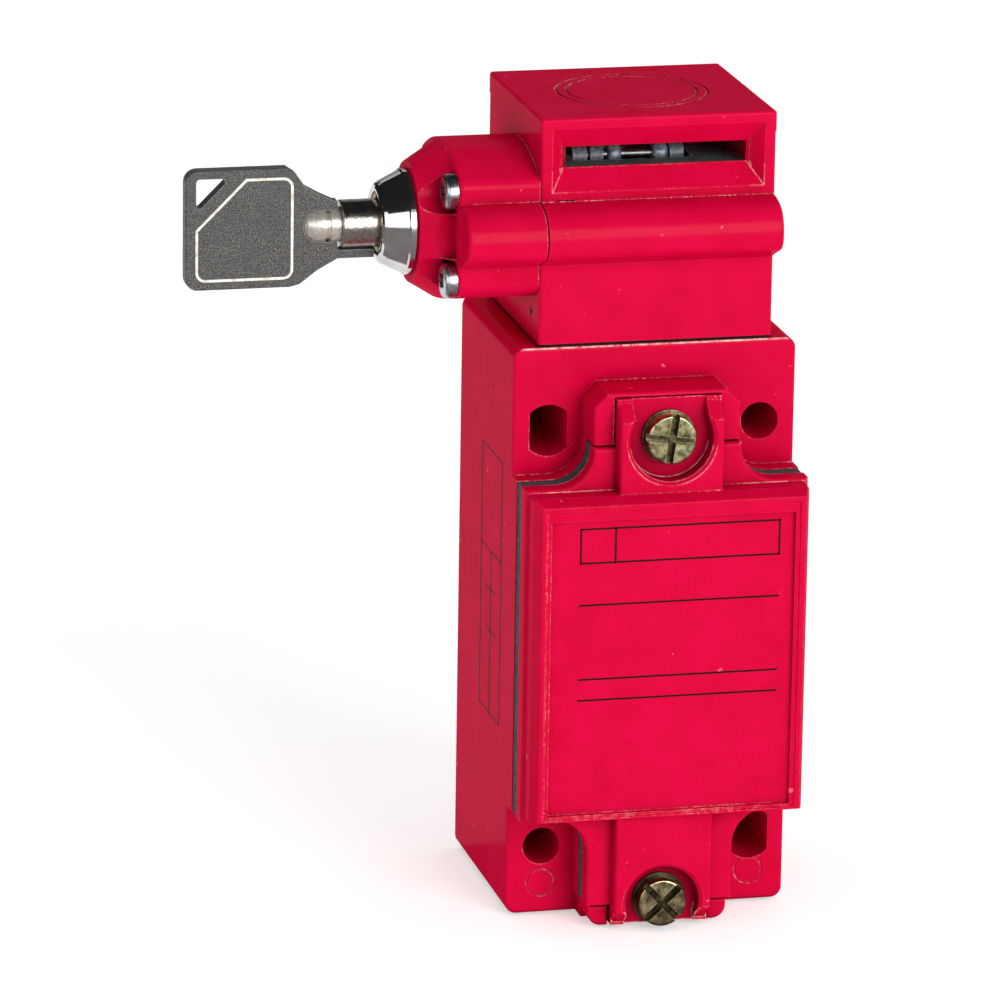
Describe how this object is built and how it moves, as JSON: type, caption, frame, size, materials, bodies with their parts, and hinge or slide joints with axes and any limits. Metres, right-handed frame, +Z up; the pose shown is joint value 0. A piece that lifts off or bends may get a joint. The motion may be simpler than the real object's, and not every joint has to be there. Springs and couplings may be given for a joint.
{
  "type": "tongue interlock switch",
  "caption": "Upright die-cast safety switch with an I-shaped screwed cover, a slotted turret head and a sideways key lock with its key.",
  "frame": {"origin": "centre of the four fixing holes, on the rear mounting face", "axes": "+Y points back into the wall, out of the rear mounting face; +Z up; +X to the right as seen from the front, so the key points along -X"},
  "size_m": [0.0835, 0.044, 0.1135],
  "materials": {
    "bridge_springs": "zinc plated",
    "cam_wheel": "zinc plated",
    "cam_wheel_axle": "zinc plated",
    "case": "gloss",
    "contact_block_base": "matt",
    "contact_block_cover": "matt",
    "contact_block_screws": "zinc plated",
    "contact_bridges": "plain",
    "contact_carrier": "matt",
    "cover": "gloss",
    "cover_gasket": "matt",
    "cover_screw_washers": "yellow zinc plated",
    "cover_screws": "yellow zinc plated",
    "driver_pins": "zinc plated",
    "driver_rollers": "zinc plated",
    "earth_screw": "zinc plated",
    "earth_washer": "zinc plated",
    "fixed_contacts": "plain",
    "guide_plate": "zinc plated",
    "head_body": "gloss",
    "head_cover": "gloss",
    "head_cover_screws": "zinc plated",
    "head_fixing_screws": "zinc plated",
    "head_gasket": "matt",
    "head_pin": "zinc plated",
    "key_bow": "dark, grained",
    "key_shank": "nickel plated",
    "key_spindle": "nickel plated",
    "lock_barrel": "plain",
    "lock_barrel_nut": "plain",
    "lock_bezel": "polished",
    "lock_cam": "zinc plated",
    "lock_core_pin": "zinc plated",
    "lock_housing": "gloss",
    "lock_housing_screws": "zinc plated",
    "lock_rotor": "plain",
    "locking_bolt": "zinc plated",
    "plunger": "matt",
    "plunger_seal": "matt",
    "plunger_springs": "zinc plated",
    "terminal_clamps": "zinc plated",
    "terminal_screws": "zinc plated",
    "wheel_bushes": "plain",
    "wheel_spacers": "zinc plated"
  },
  "bodies": {
    "housing": {"cam_wheel_axle": "cam_wheel_axle", "case": "case", "contact_block_base": "contact_block_base", "contact_block_cover": "contact_block_cover", "contact_block_screws": "contact_block_screws", "cover": "cover", "cover_gasket": "cover_gasket", "cover_screw_washers": "cover_screw_washers", "cover_screws": "cover_screws", "earth_screw": "earth_screw", "earth_washer": "earth_washer", "fixed_contacts": "fixed_contacts", "guide_plate": "guide_plate", "head_body": "head_body", "head_cover": "head_cover", "head_cover_screws": "head_cover_screws", "head_fixing_screws": "head_fixing_screws", "head_gasket": "head_gasket", "head_pin": "head_pin", "lock_barrel": "lock_barrel", "lock_barrel_nut": "lock_barrel_nut", "lock_bezel": "lock_bezel", "lock_housing": "lock_housing", "lock_housing_screws": "lock_housing_screws", "plunger_seal": "plunger_seal", "plunger_springs": "plunger_springs", "terminal_clamps": "terminal_clamps", "terminal_screws": "terminal_screws", "wheel_spacers": "wheel_spacers"},
    "lock_rotor": {"lock_rotor": "lock_rotor", "lock_core_pin": "lock_core_pin", "lock_cam": "lock_cam"},
    "key": {"key_shank": "key_shank", "key_spindle": "key_spindle", "key_bow": "key_bow"},
    "locking_bolt": {"locking_bolt": "locking_bolt"},
    "cam_wheel": {"cam_wheel": "cam_wheel", "wheel_bushes": "wheel_bushes", "driver_pins": "driver_pins", "driver_rollers": "driver_rollers"},
    "plunger": {"plunger": "plunger", "contact_carrier": "contact_carrier", "contact_bridges": "contact_bridges", "bridge_springs": "bridge_springs"}
  },
  "joints": [
    {"name": "lock_turn", "type": "hinge", "parent": "housing", "child": "lock_rotor", "pos_m": [-0.03, -0.0187, 0.0572], "axis": [1, 0, 0], "range_deg": [0, 90]},
    {"name": "key_pull", "type": "slide", "parent": "lock_rotor", "child": "key", "axis": [-1, 0, 0], "range_m": [0, 0.008]},
    {"name": "bolt_slide", "type": "slide", "parent": "housing", "child": "locking_bolt", "axis": [1, 0, 0], "range_m": [0, 0.003]},
    {"name": "wheel_turn", "type": "hinge", "parent": "housing", "child": "cam_wheel", "pos_m": [0, -0.016, 0.058], "axis": [-1, 0, 0], "range_deg": [0, 50]},
    {"name": "plunger_lift", "type": "slide", "parent": "housing", "child": "plunger", "axis": [0, 0, 1], "range_m": [0, 0.003], "deforming": ["plunger_springs"]}
  ],
  "couplings": [
    {"joint": "bolt_slide", "follows": "lock_turn", "m_per_rad": 0.0019097},
    {"joint": "plunger_lift", "follows": "wheel_turn", "m_per_rad": 0.0034374}
  ]
}
